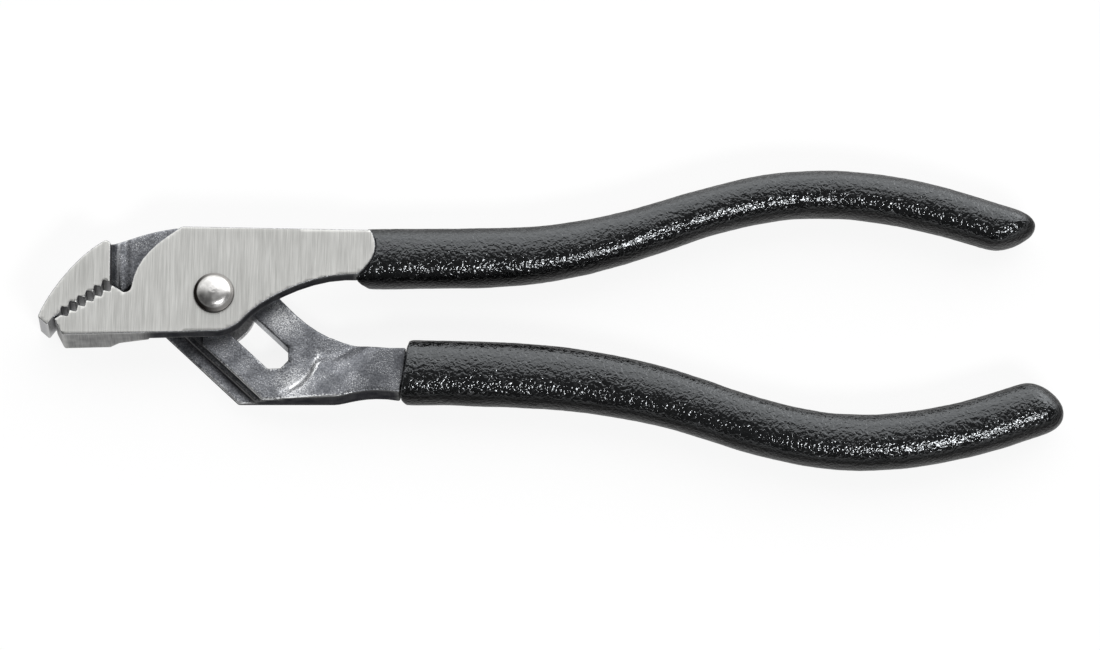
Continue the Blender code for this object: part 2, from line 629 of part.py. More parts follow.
def main():
    """Build the six pieces of the pliers."""
    for old in list(bpy.data.objects):
        bpy.data.objects.remove(old)
    upper = Handle(UPPER_REACH, UPPER_BENDS, UPPER_TANG_WIDTHS, UPPER_SLANT, UPPER_MOUTH_RADIUS,
                   UPPER_END_SLANT)
    lower = Handle(LOWER_REACH, LOWER_BENDS, LOWER_TANG_WIDTHS, LOWER_SLANT, LOWER_MOUTH_RADIUS,
                   LOWER_END_SLANT)
    lower_frame = moving_frame("lower_handle_frame")
    pivot_frame = moving_frame("pivot_frame", lower_frame)
    upper_frame = moving_frame("upper_handle_frame", pivot_frame)

    finish(make_rear_forging(lower), DARK_STEEL, 0.45, 0.9, 30, lower_frame)
    finish(make_front_forging(upper), GROUND_STEEL, 0.32, 1.0, 30, upper_frame)
    finish(make_rivet(), RIVET_STEEL, 0.18, 1.0, 35, pivot_frame)
    finish(make_washer(), WASHER_STEEL, 0.35, 1.0, 35, pivot_frame)
    upper_mouth = FACE_END + SLEEVE_GAP
    lower_mouth = ROOT_LENGTH + SLEEVE_GAP
    finish(sleeve("upper_grip", upper, upper_mouth), BLACK_VINYL, 0.38, 0.0, 60, upper_frame)
    finish(sleeve("lower_grip", lower, lower_mouth), BLACK_VINYL, 0.38, 0.0, 60, lower_frame)


main()
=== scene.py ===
"""Looks of a pair of water pump pliers: ground and tumbled steel with dipped black grips.

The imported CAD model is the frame. Every piece here is finished in that frame, in metres, and
rides on the CAD body that carries it. The rivet's axis is +Z through the origin, the jaws point
to -X and the handles to +X.
"""

import logging
import math
from dataclasses import dataclass
from enum import Enum
from typing import Any, Iterable, Optional, Sequence, Union

import bmesh
import bpy
from mathutils import Matrix, Vector, kdtree, noise


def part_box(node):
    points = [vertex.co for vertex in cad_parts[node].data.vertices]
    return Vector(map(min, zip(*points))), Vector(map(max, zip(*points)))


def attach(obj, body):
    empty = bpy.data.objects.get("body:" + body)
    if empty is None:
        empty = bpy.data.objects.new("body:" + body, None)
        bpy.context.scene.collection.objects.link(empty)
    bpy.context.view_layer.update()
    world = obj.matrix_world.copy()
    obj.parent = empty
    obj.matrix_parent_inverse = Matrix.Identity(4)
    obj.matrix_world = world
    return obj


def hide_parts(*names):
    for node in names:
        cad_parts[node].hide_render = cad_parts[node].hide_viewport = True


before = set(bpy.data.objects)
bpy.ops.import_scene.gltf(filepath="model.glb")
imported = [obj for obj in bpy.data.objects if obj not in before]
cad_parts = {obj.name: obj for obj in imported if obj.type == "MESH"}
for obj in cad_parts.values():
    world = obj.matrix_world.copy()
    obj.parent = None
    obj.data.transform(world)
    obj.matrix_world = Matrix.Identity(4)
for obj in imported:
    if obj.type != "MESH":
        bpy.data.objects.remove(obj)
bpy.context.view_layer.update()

LOG = logging.getLogger("pliers")
MM = 0.001
WELD = 0.001 * MM           # vertices closer than this are one

Triple = tuple[float, float, float]
Colour = Triple
Pair = tuple[float, float]
Span = Pair                 # where a smooth rise starts and where it ends
Term = Union["Signal", float]
BMesh, BMFace = bmesh.types.BMesh, bmesh.types.BMFace
Material, Object = bpy.types.Material, bpy.types.Object

# Plan lines of the rear forging that its shape and its finish share
SLOT_LINE = Vector((math.cos(math.radians(43.5)), -math.sin(math.radians(43.5))))
CREST = Vector((23.85 * MM, -13.5 * MM))
CREST_NORMAL = Vector((0.815, -0.58))

# How far each sleeve's mouth draws back, in mm, at angles in degrees round the sleeve: 0 is its
# front side, 90 its top and 270 its underside
UPPER_MOUTH = ((-15.0, 1.75), (33.0, -0.8), (70.0, -0.1), (120.0, -0.15), (165.0, -0.9), (345.0, 1.75))
LOWER_MOUTH = ((-15.0, 1.1), (20.0, 0.0), (140.0, 0.0), (165.0, 1.2), (200.0, -0.2), (310.0, -0.2), (345.0, 1.1))


class Body(Enum):
    """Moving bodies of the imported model."""

    LOWER = "lower_handle"
    PIVOT = "pivot"
    UPPER = "upper_handle"


class Slot(Enum):
    """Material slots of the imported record."""

    GROUND = "ground_steel"
    FORGED = "forged_steel"
    RIVET = "rivet_steel"
    WASHER = "washer_steel"
    VINYL = "dipped_vinyl"


class Mark(Enum):
    """Vertex attributes that the steel finishes read."""

    WEAR = "edge_wear"
    # Darkening by the hollow corners: dirt and painted shade
    DIRT_AND_SHADE = "corner_dirt_and_shade"


class Signal:
    """One output of a finish's node graph, with arithmetic that adds Math nodes."""

    def __init__(self, graph: "NodeGraph", socket: bpy.types.NodeSocket) -> None:
        """Wrap an output socket of a graph."""
        self.graph = graph
        self.socket = socket

    def join(self, operation: str, first: Term, second: Term) -> "Signal":
        """Result of a Math node on two terms, by Blender's name of its operation."""
        return self.graph.add("ShaderNodeMath", {"operation": operation}, {0: first, 1: second})

    def __add__(self, other: Term) -> "Signal":
        """Sum with another term."""
        return self.join("ADD", self, other)

    def __radd__(self, other: Term) -> "Signal":
        """Sum with a plain number in front."""
        return self.join("ADD", other, self)

    def __sub__(self, other: Term) -> "Signal":
        """Difference to another term."""
        return self.join("SUBTRACT", self, other)

    def __rsub__(self, other: Term) -> "Signal":
        """Difference from a plain number."""
        return self.join("SUBTRACT", other, self)

    def __mul__(self, other: Term) -> "Signal":
        """Product with another term."""
        return self.join("MULTIPLY", self, other)

    def __rmul__(self, other: Term) -> "Signal":
        """Product with a plain number in front."""
        return self.join("MULTIPLY", other, self)

    def __truediv__(self, other: Term) -> "Signal":
        """Quotient by another term."""
        return self.join("DIVIDE", self, other)

    def __rtruediv__(self, other: Term) -> "Signal":
        """Quotient of a plain number by this value."""
        return self.join("DIVIDE", other, self)

    def __pow__(self, other: Term) -> "Signal":
        """Power of this value."""
        return self.join("POWER", self, other)

    def __rpow__(self, other: Term) -> "Signal":
        """Power of a plain number."""
        return self.join("POWER", other, self)

    def least(self, other: Term) -> "Signal":
        """The smaller of two values."""
        return self.join("MINIMUM", self, other)

    def most(self, other: Term) -> "Signal":
        """The larger of two values."""
        return self.join("MAXIMUM", self, other)

    def step(self, low: float, high: float) -> "Signal":
        """Smooth rise from 0 to 1 between two values of this one."""
        settings = {"interpolation_type": "SMOOTHSTEP"}
        return self.graph.add("ShaderNodeMapRange", settings, {0: self, 1: low, 2: high})


class NodeGraph:
    """A node tree and the one way to add nodes to it."""

    def __init__(self, tree: bpy.types.NodeTree) -> None:
        """Take hold of the node tree of a material or of the world."""
        self.tree = tree

    def add(self, kind: str, settings: Optional[dict[str, Any]] = None,
            sockets: Optional[dict[Any, Any]] = None, output: Union[int, str] = 0) -> Signal:
        """Add any node.

        Args:
            kind: Blender's type of the node.
            settings: Properties of the node, set before its sockets.
            sockets: Values or links of the input sockets, by name or number.
            output: Name or number of the output socket to hand back.

        Returns:
            The chosen output.
        """
        node = self.tree.nodes.new(kind)
        for name, value in (settings or {}).items():
            setattr(node, name, value)
        for key, value in (sockets or {}).items():
            self.feed(node.inputs[key], value)
        return Signal(self, node.outputs[output])

    def feed(self, socket: bpy.types.NodeSocket, value: Any) -> None:
        """Link a signal to an input socket, or set its plain value.

        Args:
            socket: Input socket.
            value: A signal, or a value of the socket's own type.
        """
        if isinstance(value, Signal):
            self.tree.links.new(value.socket, socket)
        else:
            socket.default_value = value

    def split(self, vector: Signal, axis: str) -> Signal:
        """One coordinate of a vector."""
        return self.add("ShaderNodeSeparateXYZ", None, {0: vector}, axis)


class FinishGraph(NodeGraph):
    """Node graph of one finish, ending in a Principled shader."""

    def __init__(self, name: str) -> None:
        """Make an empty material.

        Args:
            name: Name of the material.
        """
        self.material = bpy.data.materials.new(name)
        self.material.use_nodes = True
        super().__init__(self.material.node_tree)
        self.shader = self.tree.nodes["Principled BSDF"]
        self.place = self.add("ShaderNodeTexCoord", output="Object")

    def stretched(self, scale: Sequence[float], turn: float = 0.0) -> Signal:
        """Object coordinates, turned about Z and then scaled along each axis.

        Args:
            scale: Cells per metre along x, y and z.
            turn: Angle about Z in radians.

        Returns:
            The mapped coordinates.
        """
        turned = self.place
        if turn:
            turned = self.add("ShaderNodeMapping", None, {"Vector": self.place, "Rotation": (0, 0, turn)})
        return self.add("ShaderNodeMapping", None, {"Vector": turned, "Scale": scale})

    def noise(self, cell: Union[float, Sequence[float]], detail: float = 2.0,
              rough: float = 0.5, turn: float = 0.0, warp: float = 0.0) -> Signal:
        """Cloudy noise.

        Args:
            cell: Size of the noise's features in metres, alike or along x, y and z.
            detail: Octaves of finer noise.
            rough: Share of the finer noise.
            turn: Angle of the pattern about Z in radians.
            warp: Distortion of the pattern.

        Returns:
            Noise around 0.5.
        """
        sizes = (cell,) * 3 if isinstance(cell, float) else tuple(cell)
        vector = self.stretched([1.0 / size for size in sizes], turn)
        sockets = {"Vector": vector, "Scale": 1.0, "Detail": detail, "Roughness": rough, "Distortion": warp}
        return self.add("ShaderNodeTexNoise", None, sockets, "Fac")

    def cells(self, cell: float) -> Signal:
        """Distance, in cells, to the nearest of many points scattered a cell apart."""
        sockets = {"Vector": self.stretched((1.0 / cell,) * 3), "Scale": 1.0}
        return self.add("ShaderNodeTexVoronoi", None, sockets, "Distance")

    def along(self, axis: str) -> Signal:
        """One of the object coordinates, in metres."""
        return self.split(self.place, axis)

    def around(self, place: Sequence[float] = (0.0, 0.0)) -> Signal:
        """Square of the distance to a place in plan, in square metres."""
        x, y = self.along("X") - place[0], self.along("Y") - place[1]
        return x * x + y * y

    def mark(self, which: Mark) -> Signal:
        """Value of a vertex attribute."""
        return self.add("ShaderNodeAttribute", {"attribute_name": which.value}, None, "Fac")

    def blend(self, share: Term, first: Any, second: Any) -> Signal:
        """Mix two colours.

        Args:
            share: Share of the second colour.
            first: Colour or link at share 0.
            second: Colour or link at share 1.

        Returns:
            The mixed colour.
        """
        settings = {"data_type": "RGBA", "clamp_factor": True}
        colours = [(*c, 1.0) if isinstance(c, tuple) else c for c in (first, second)]
        return self.add("ShaderNodeMix", settings, {0: share, 6: colours[0], 7: colours[1]}, 2)

    def bump(self, height: Signal, depth: float, under: Optional[Signal] = None) -> Signal:
        """Turn a height into a normal.

        Args:
            height: Height from 0 to 1.
            depth: Depth of a height of 1, in metres.
            under: Normal of a coarser bump below this one.

        Returns:
            The bumped normal.
        """
        sockets: dict[str, Any] = {"Height": height, "Distance": depth, "Strength": 1.0}
        if under is not None:
            sockets["Normal"] = under
        return self.add("ShaderNodeBump", None, sockets)

    def finish(self, **sockets: Any) -> Material:
        """Feed the Principled shader.

        Args:
            **sockets: Values or links by socket name, with an underscore for each space.

        Returns:
            The finished material.
        """
        for name, value in sockets.items():
            if isinstance(value, tuple):
                value = (*value, 1.0)
            self.feed(self.shader.inputs[name.replace("_", " ")], value)
        return self.material

    def mix_in(self, other: Signal, share: Term) -> Material:
        """Mix another shader over the Principled one.

        Args:
            other: Shader to mix in.
            share: Its share.

        Returns:
            The material.
        """
        own = Signal(self, self.shader.outputs[0])
        mixed = self.add("ShaderNodeMixShader", None, {0: share, 1: own, 2: other})
        self.feed(self.tree.nodes["Material Output"].inputs["Surface"], mixed)
        return self.material


@dataclass(frozen=True)
class GroundSteel:
    """Belt-ground flat: bright steel with fine streaks across the tool."""

    name: str = "ground_steel"
    dark: Colour = (0.415, 0.415, 0.40)
    light: Colour = (0.70, 0.70, 0.68)
    bared: Colour = (0.86, 0.86, 0.83)
    bared_share: float = 0.25
    dirt_and_shadow: Colour = (0.045, 0.042, 0.04)
    dirt_and_shadow_share: float = 0.85
    dirt_and_shadow_edge: Span = (3.28 * MM, 3.55 * MM)    # ring of dirt and painted contact shadow round the rivet's head
    streak: Triple = (0.15 * MM, 6.0 * MM, 6.0 * MM)
    band: Triple = (0.75 * MM, 18.0 * MM, 18.0 * MM)
    cloud: float = 6.0 * MM
    streak_share: float = 0.70
    band_share: float = 0.20
    cloud_share: float = 0.20
    tone: Span = (0.25, 0.85)
    turn: float = math.radians(1.5)
    depth: float = 0.012 * MM
    rough: float = 0.34
    streak_rough: float = 0.16
    bared_polish: float = 0.08

    def material(self) -> Material:
        """Make the finish's material.

        Returns:
            The material.
        """
        graph = FinishGraph(self.name)
        streak = graph.noise(self.streak, 3.0, 0.6, self.turn)
        band = graph.noise(self.band, 2.0, 0.5, -self.turn)
        cloud = graph.noise(self.cloud, 2.0)
        tone = self.streak_share * streak + self.band_share * band + self.cloud_share * cloud
        wear = graph.mark(Mark.WEAR)
        base = graph.blend(tone.step(*self.tone), self.dark, self.light)
        base = graph.blend(wear * self.bared_share, base, self.bared)
        # Dirt and painted contact shadow in a ring where the rivet's head sits on the face
        seat = 1.0 - (graph.around() ** 0.5).step(*self.dirt_and_shadow_edge)
        base = graph.blend(seat * self.dirt_and_shadow_share, base, self.dirt_and_shadow)
        rough = self.rough + self.streak_rough * streak - self.bared_polish * wear
        return graph.finish(Base_Color=base, Metallic=1.0, Roughness=rough, Normal=graph.bump(streak, self.depth))


@dataclass(frozen=True)
class ShearSide:
    """Trimmed side wall of a forging: greyer than its ground face, scored through its thickness."""

    name: str = "sheared_side"
    dark: Colour = (0.12, 0.12, 0.12)
    light: Colour = (0.35, 0.35, 0.345)
    # Dark scale on the walls past the jaw, also painting the shade and dark reflection along the plate's side wall
    scale_and_shade_black: Colour = (0.022, 0.0225, 0.026)
    # Painted highlight on the teeth's walls, standing for light on their facets
    teeth_highlight: Colour = (0.62, 0.62, 0.64)
    teeth_highlight_share: float = 0.6
    bared: Colour = (0.75, 0.75, 0.73)
    bared_share: float = 0.45
    bared_less: float = 0.33        # how much of that share the scale takes away
    dirt_and_shade: Colour = (0.03, 0.03, 0.032)
    dirt_and_shade_share: float = 0.35
    glance: Colour = (0.6, 0.6, 0.6)
    score: Triple = (0.25 * MM, 0.25 * MM, 6.0 * MM)
    patch: float = 2.4 * MM
    score_share: float = 0.6
    patch_share: float = 0.5
    tone: Span = (0.3, 0.8)
    jaw_end: Span = (-13.0 * MM, -9.5 * MM)
    scale_cover: float = 0.75
    scale_patch: float = 0.4
    bite_line: Pair = (-17.6 * MM, 0.95 * MM)
    bite_slope: float = 0.53
    bite_reach: Span = ((1.0 * MM) ** 2, (1.5 * MM) ** 2)
    bite_end: Span = (-17.0 * MM, -16.0 * MM)
    depth: float = 0.02 * MM
    rough: float = 0.28
    patch_rough: float = 0.2
    scale_rough: float = 0.35

    def lit_teeth(self, graph: FinishGraph) -> Signal:
        """Share of the painted highlight on the teeth's walls, which is 1 on those walls and 0 elsewhere."""
        aside = graph.along("Y") - self.bite_line[1] - self.bite_slope * (graph.along("X") - self.bite_line[0])
        return (1.0 - (aside * aside).step(*self.bite_reach)) * (1.0 - graph.along("X").step(*self.bite_end))

    def material(self) -> Material:
        """Make the finish's material.

        Returns:
            The material.
        """
        graph = FinishGraph(self.name)
        score = graph.noise(self.score, 3.0, 0.6)
        patch = graph.noise(self.patch, 3.0)
        tone = self.score_share * score + self.patch_share * patch
        base = graph.blend(tone.step(*self.tone), self.dark, self.light)
        # Past the jaw: part forging scale, part painted shade along the plate's side wall
        scale = graph.along("X").step(*self.jaw_end) * (self.scale_cover + self.scale_patch * patch).least(1.0)
        base = graph.blend(scale, base, self.scale_and_shade_black)
        # Painted highlight: the teeth's walls are lightened
        base = graph.blend(self.lit_teeth(graph) * self.teeth_highlight_share, base, self.teeth_highlight)
        bared = graph.mark(Mark.WEAR) * (self.bared_share - self.bared_less * scale)
        base = graph.blend(bared, base, self.bared)
        # Dirt and painted shade darken the hollow corners
        base = graph.blend(graph.mark(Mark.DIRT_AND_SHADE) * self.dirt_and_shade_share, base, self.dirt_and_shade)
        rough = self.rough + self.patch_rough * patch + self.scale_rough * scale
        return graph.finish(Base_Color=base, Metallic=1.0 - scale, Roughness=rough,
                            Normal=graph.bump(score, self.depth), Specular_IOR_Level=0.0,
                            Specular_Tint=self.glance)


@dataclass(frozen=True)
class TumbledSteel:
    """Shot-blasted and tumbled forging: dark grey with bright specks and rubbed edges, with painted shade, glints and
    highlights.
    """

    name: str = "tumbled_steel"
    dark: Colour = (0.12, 0.125, 0.137)
    light: Colour = (0.31, 0.32, 0.345)
    speck_and_highlight: Colour = (0.85, 0.86, 0.87)
    shadow: Colour = (0.045, 0.047, 0.053)
    dirt_and_shade: Colour = (0.02, 0.02, 0.022)
    neck_shadow_tone: Colour = (0.03, 0.03, 0.034)
    grain: float = 0.30 * MM
    patch: float = 3.0 * MM
    pit: float = 0.55 * MM
    grain_share: float = 0.75
    patch_share: float = 0.45
    tone: Span = (0.42, 0.80)
    # Darker stretches: handle root, handle flat and neck, each with its share
    root_edge: Span = (16.0 * MM, 19.0 * MM)
    root_shade: float = 0.25
    flat_edge: Span = (-0.8 * MM, 0.8 * MM)
    flat_shade: float = 0.42
    neck_edge: Span = (-11.0 * MM, -7.0 * MM)
    neck_shade: float = 0.32
    # Bright specks, thicker in two spots of painted glints, each a place in plan and a radius
    glitter: float = 0.17 * MM
    speck_cut: Span = (0.55, 0.72)
    speck_patch: Span = (0.35, 0.60)
    speck_share: float = 0.85
    arm_glint: Triple = (11.4 * MM, -3.9 * MM, 4.0 * MM)
    ring_glint: Triple = (13.2 * MM, -15.0 * MM, 4.0 * MM)
    glint_gain: float = 0.15
    # Ring of painted highlight round the slot's end, standing for the light on the recess rim, with its fades to the
    # left, to the top and down the wall
    ring_centre: Pair = (10.4 * MM, -8.7 * MM)
    ring_radius: float = 7.0 * MM
    ring_width: float = 0.95 * MM
    ring_left: Span = (10.9 * MM, 13.4 * MM)
    ring_top: Span = (-12.2 * MM, -6.2 * MM)
    ring_foot: Span = (4.5 * MM, 5.2 * MM)
    ring_highlight_share: float = 1.15
    # Rubbed edges, most on the lower side of the root, where the extra brightness is wear and painted highlight
    low_edge: Span = (-14.0 * MM, -8.0 * MM)
    low_end: Span = (18.0 * MM, 25.0 * MM)
    wear_share: float = 0.45
    low_wear_and_highlight: float = 0.75
    wear_and_highlight_grain: float = 2.2
    wear_and_highlight_cut: Span = (1.65, 2.05)
    wear_and_highlight_share: float = 0.8
    # Dirt and painted shade in the corners, and painted shade on the ledge beside the slot
    dirt_and_shade_share: float = 0.7
    ledge_edge: Span = (6.6 * MM, 7.0 * MM)
    ledge_foot: Span = (3.2 * MM, 3.8 * MM)
    ledge_top: Span = (4.8 * MM, 5.2 * MM)
    ledge_shade_share: float = 0.8
    # Soft lines down the neck, a painted shadow line and a painted highlight line, each a place along the tool and a
    # half width
    neck_shadow_line: Pair = (-14.2 * MM, 0.55 * MM)
    shadow_line_share: float = 0.55
    neck_shine: Pair = (-15.9 * MM, 0.32 * MM)
    shine_share: float = 0.6
    line_wander: float = 0.3 * MM
    line_cell: float = 2.0 * MM
    line_foot: Span = (-1.0 * MM, 2.0 * MM)
    depth: float = 0.025 * MM
    rough: float = 0.34
    patch_rough: float = 0.16
    wear_and_highlight_polish: float = 0.10

    def shade(self, graph: FinishGraph) -> Signal:
        """Share of darkening on the handle root, on its flat and in the neck.

        Args:
            graph: Graph to add it to.

        Returns:
            The share.
        """
        x, y = graph.along("X"), graph.along("Y")
        past = (x - CREST.x) * CREST_NORMAL.x + (y - CREST.y) * CREST_NORMAL.y
        root = self.root_shade * x.step(*self.root_edge)
        flat = self.flat_shade * past.step(*self.flat_edge)
        return root.most(flat).most(self.neck_shade * (1.0 - x.step(*self.neck_edge)))

    def glint_spots(self, graph: FinishGraph) -> Signal:
        """Share of the two spots of painted glints, in which the specks lie thicker."""
        arm, ring = ((1.0 - graph.around(spot) / spot[2] ** 2).most(0.0) for spot in (self.arm_glint, self.ring_glint))
        return arm.most(ring)

    def ring(self, graph: FinishGraph) -> Signal:
        """Share of the ring of painted highlight."""
        off = (graph.around(self.ring_centre) ** 0.5 - self.ring_radius) / self.ring_width
        return ((1.0 - off * off).most(0.0) * graph.along("X").step(*self.ring_left)
                * (1.0 - graph.along("Y").step(*self.ring_top)) * graph.along("Z").step(*self.ring_foot))

    def ledge_shade(self, graph: FinishGraph) -> Signal:
        """Share of the painted shade on the ledge beside the slot."""
        off, height = graph.along("X") * SLOT_LINE.y - graph.along("Y") * SLOT_LINE.x, graph.along("Z")
        return off.step(*self.ledge_edge) * height.step(*self.ledge_foot) * (1.0 - height.step(*self.ledge_top))

    def line(self, graph: FinishGraph, at: Pair) -> Signal:
        """Share of a soft painted line down the neck, from its place and its half width."""
        off = (graph.along("X") + self.line_wander * graph.noise(self.line_cell, 2.0) - at[0]) / at[1]
        return (1.0 - off * off).most(0.0) * graph.along("Y").step(*self.line_foot)

    def material(self) -> Material:
        """Make the finish's material.

        Returns:
            The material.
        """
        graph = FinishGraph(self.name)
        grain = graph.noise(self.grain, 3.0, 0.6)
        patch = graph.noise(self.patch, 3.0)
        tone = self.grain_share * grain + self.patch_share * patch
        base = graph.blend(tone.step(*self.tone), self.dark, self.light)
        base = graph.blend(self.shade(graph), base, self.shadow)
        glint_spots = self.glint_spots(graph)
        # Painted glints: the specks lie thicker in the two spots
        glitter = graph.noise(self.glitter, 2.0) + self.glint_gain * glint_spots
        specks = glitter.step(*self.speck_cut) * patch.step(*self.speck_patch).most(glint_spots)
        # Extra brightness on the lower side: wear and painted highlight
        low = (1.0 - graph.along("Y").step(*self.low_edge)) * (1.0 - graph.along("X").step(*self.low_end))
        worn_and_lit = graph.mark(Mark.WEAR) * (self.wear_share + self.low_wear_and_highlight * low)
        # Edge wear together with the ring of painted highlight, broken up by the grain
        wear_and_highlight = (worn_and_lit.most(self.ring(graph) * self.ring_highlight_share) + self.wear_and_highlight_grain * grain).step(*self.wear_and_highlight_cut)
        base = graph.blend((specks * self.speck_share).most(wear_and_highlight * self.wear_and_highlight_share), base, self.speck_and_highlight)
        # Dirt and painted shade in the hollow corners
        dirt_and_shade = graph.mark(Mark.DIRT_AND_SHADE) * self.dirt_and_shade_share
        # Painted shade on the ledge beside the slot joins the corner darkening
        base = graph.blend(dirt_and_shade.most(self.ledge_shade(graph) * self.ledge_shade_share), base, self.dirt_and_shade)
        # Painted shadow line along the front plate's shoulder, and a painted highlight line on the neck's fillet
        base = graph.blend(self.line(graph, self.neck_shadow_line) * self.shadow_line_share, base, self.neck_shadow_tone)
        base = graph.blend(self.line(graph, self.neck_shine) * grain * self.shine_share, base, self.speck_and_highlight)
        normal = graph.bump(grain, self.depth, graph.bump(graph.cells(self.pit), self.depth))
        rough = self.rough + self.patch_rough * patch - self.wear_and_highlight_polish * wear_and_highlight
        return graph.finish(Base_Color=base, Metallic=1.0, Roughness=rough, Normal=normal)


@dataclass(frozen=True)
class PolishedRivet:
    """Polished rivet head with fine turning marks and a few knocks, painted lighter on one side and painted dark down
    the side of its head as dirt and shade.
    """

    seat: float
    name: str = "polished_rivet"
    dull: Colour = (0.36, 0.355, 0.345)
    bright: Colour = (0.78, 0.77, 0.755)
    dirt_and_shadow: Colour = (0.012, 0.010, 0.009)
    lit_flank: Colour = (0.30, 0.29, 0.28)
    glance: Colour = (0.5, 0.5, 0.5)
    smear: float = 0.9 * MM
    smear_cut: Span = (0.3, 0.7)
    smear_share: float = 0.35
    lit_share: float = 0.65
    lit_edge: Span = (-2.6 * MM, 1.2 * MM)
    lit_slope: float = 0.3
    flange: Span = (0.06 * MM, 0.16 * MM)   # heights above the seat between which the side is painted dark, as dirt and shade
    flank: Span = (0.95 * MM, 1.2 * MM)
    dirt_and_shadow_cover: float = 0.9
    lit_cover: float = 0.4
    scratch: Triple = (0.12 * MM, 1.2 * MM, 1.2 * MM)
    scratch_depth: float = 0.008 * MM
    knock: float = 0.55 * MM
    knock_depth: float = 0.06 * MM
    knocked: Span = ((0.3 * MM) ** 2, (1.2 * MM) ** 2)
    rough: float = 0.26
    smear_rough: float = 0.14

    def material(self) -> Material:
        """Make the finish's material.

        Returns:
            The material.
        """
        graph = FinishGraph(self.name)
        smear = graph.noise(self.smear, 3.0)
        knocks = graph.noise(self.knock, 1.0) * (1.0 - graph.around().step(*self.knocked))
        rise = graph.along("Z") - self.seat
        # Painted shade: the side of the head is dark, dirt and shade together, with a lit copy of that colour
        side = rise.step(*self.flange) * (1.0 - rise.step(*self.flank))
        # Painted light: the head is lighter towards +X and +Y
        lit = (graph.along("X") + graph.along("Y") * self.lit_slope).step(*self.lit_edge)
        tone = self.smear_share * smear.step(*self.smear_cut) + self.lit_share * lit
        base = graph.blend(tone, self.dull, self.bright)
        base = graph.blend(side, base, graph.blend(lit, self.dirt_and_shadow, self.lit_flank))
        scratches = graph.noise(self.scratch, 2.0, 0.6)
        normal = graph.bump(scratches, self.scratch_depth, graph.bump(knocks, self.knock_depth))
        return graph.finish(Base_Color=base, Metallic=1.0 - side * (self.dirt_and_shadow_cover - self.lit_cover * lit),
                            Roughness=self.rough + self.smear_rough * smear, Normal=normal,
                            Specular_IOR_Level=0.0, Specular_Tint=self.glance)


@dataclass(frozen=True)
class WasherSteel:
    """Plain stamped washer, dulled by handling."""

    name: str = "washer_steel"
    dark: Colour = (0.17, 0.17, 0.175)
    light: Colour = (0.50, 0.50, 0.50)
    grain: float = 0.4 * MM
    patch: float = 2.6 * MM
    grain_share: float = 0.6
    patch_share: float = 0.4
    tone: Span = (0.3, 0.7)
    depth: float = 0.02 * MM
    rough: float = 0.30
    patch_rough: float = 0.22

    def material(self) -> Material:
        """Make the finish's material.

        Returns:
            The material.
        """
        graph = FinishGraph(self.name)
        grain = graph.noise(self.grain, 3.0, 0.6)
        patch = graph.noise(self.patch, 2.0)
        tone = self.grain_share * grain + self.patch_share * patch
        base = graph.blend(tone.step(*self.tone), self.dark, self.light)
        rough = self.rough + self.patch_rough * patch
        return graph.finish(Base_Color=base, Metallic=1.0, Roughness=rough, Normal=graph.bump(grain, self.depth))


@dataclass(frozen=True)
class DippedVinyl:
    """Black vinyl from a dip: glossy on top with a pebbled grain painted lighter on its crowns, and duller down its
    sides, where it is painted darker as shade.
    """

    name: str = "dipped_vinyl"
    colour: Colour = (0.0028, 0.0029, 0.0032)
    pebble_lit_tone: Colour = (0.014, 0.0146, 0.0155)
    shaded_black: Colour = (0.0012, 0.0012, 0.0014)
    sheen: Colour = (0.93, 0.97, 1.0)
    grain: float = 0.55 * MM
    grain_depth: float = 0.17 * MM
    fine_depth: float = 0.03 * MM
    patch: float = 5.0 * MM
    pebble_lit_cut: Span = (0.50, 0.72)
    pebble_lit_least: float = 0.4
    side_pebble_lit: float = 0.3
    shine: float = 0.95
    rough: float = 0.07
    patch_rough: float = 0.07
    matt_and_shaded_below: Span = (7.3 * MM, 9.4 * MM)
    dull_shine: float = 0.06
    dull_rough: float = 0.3

    def material(self) -> Material:
        """Make the finish's material.

        Returns:
            The material.
        """
        graph = FinishGraph(self.name)
        grain = graph.noise(self.grain, 1.0, 0.4, warp=0.5)
        patch = graph.noise(self.patch, 3.0)
        # Painted light and shade of the pebbled grain: its crowns are lighter than its pits
        pebble_lit = grain.step(*self.pebble_lit_cut) * (self.pebble_lit_least + patch)
        fine = graph.noise(self.grain * 0.5, 1.0)
        normal = graph.bump(fine, self.fine_depth, graph.bump(grain, self.grain_depth))
        graph.finish(Base_Color=graph.blend(pebble_lit, self.colour, self.pebble_lit_tone), Normal=normal,
                     Roughness=self.rough + self.patch_rough * patch, Specular_Tint=self.sheen,
                     Specular_IOR_Level=self.shine)
        # Painted shade: a duller, darker copy of the vinyl down the sides
        side = graph.blend(pebble_lit * self.side_pebble_lit, self.shaded_black, self.pebble_lit_tone)
        dull = graph.add("ShaderNodeBsdfPrincipled", None, {
            "Base Color": side, "Roughness": self.dull_rough, "Normal": normal, "Specular IOR Level": self.dull_shine})
        return graph.mix_in(dull, 1.0 - graph.along("Z").step(*self.matt_and_shaded_below))


def smooth_rise(share: float) -> float:
    """Ease a share, cut to 0 and 1, at both of its ends."""
    share = min(1.0, max(0.0, share))
    return share * share * (3.0 - 2.0 * share)


def point_tree(points: Sequence[Vector]) -> kdtree.KDTree:
    """Make a search tree.

    Args:
        points: Points to search.

    Returns:
        The balanced tree.
    """
    tree = kdtree.KDTree(len(points))
    for i, point in enumerate(points):
        tree.insert(point, i)
    tree.balance()
    return tree


